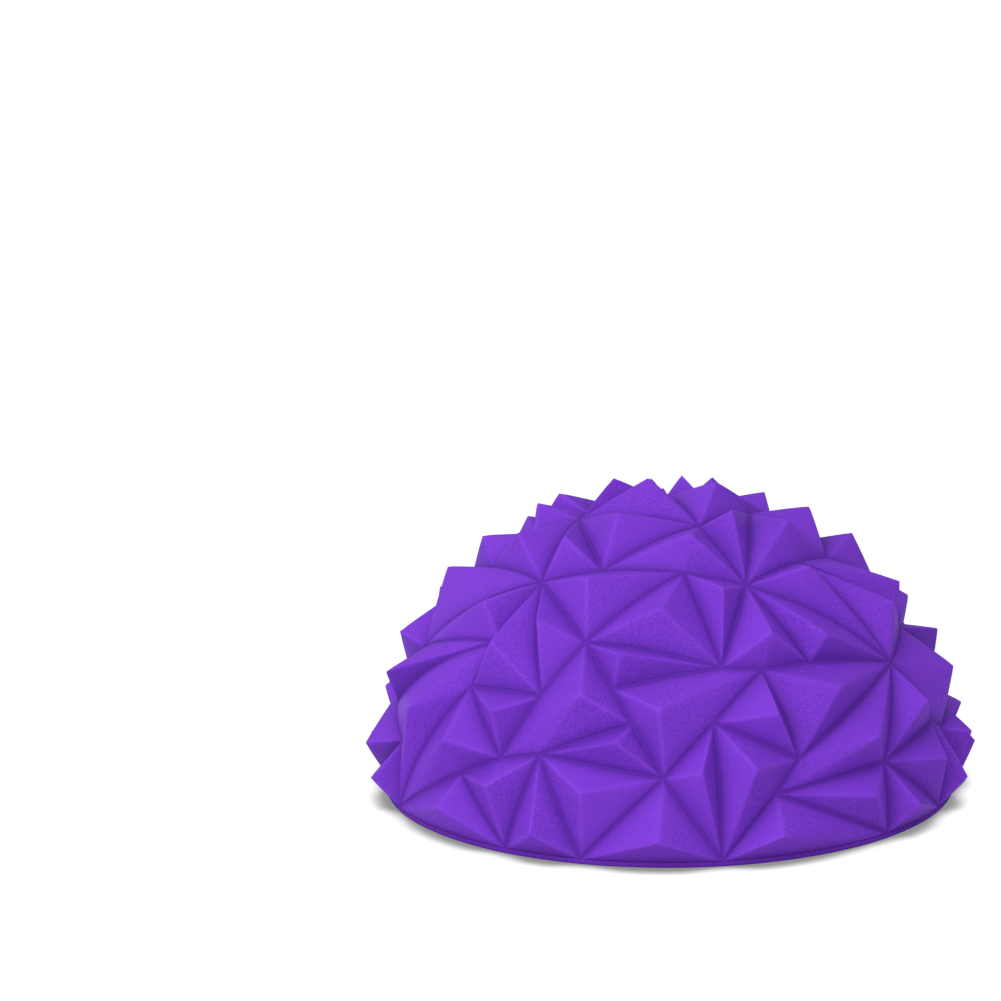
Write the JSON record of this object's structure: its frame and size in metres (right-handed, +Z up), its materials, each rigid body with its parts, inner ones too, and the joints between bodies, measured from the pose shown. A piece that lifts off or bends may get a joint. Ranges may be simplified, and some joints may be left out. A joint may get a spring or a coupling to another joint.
{
  "type": "balance dome trainer",
  "caption": "Half-ball balance pod: soft air-filled dome with raised crystal-like facets on a flat round base, with a plugged inflation valve underneath.",
  "frame": {"origin": "centre of the flat foot ring, on the surface that the pod stands on", "axes": "+Z up through the top of the dome, -Y towards the front, +X to the right of a person looking at the front"},
  "size_m": [0.1593, 0.1607, 0.0806],
  "materials": {
    "dome_skin": "satin purple soft PVC",
    "base_skin": "matte purple soft PVC",
    "valve_rubber": "matte, softer grade of the same purple PVC",
    "plug_plastic": "natural white polyethylene, satin"
  },
  "bodies": {
    "dome": {"dome_shell": "dome_skin", "base_disc": "base_skin", "valve_insert": "valve_rubber"},
    "plug": {"valve_plug": "plug_plastic"}
  },
  "joints": [
    {"name": "plug_pull", "type": "slide", "parent": "dome", "child": "plug", "axis": [0, 0, -1], "range_m": [0, 0.015]}
  ]
}
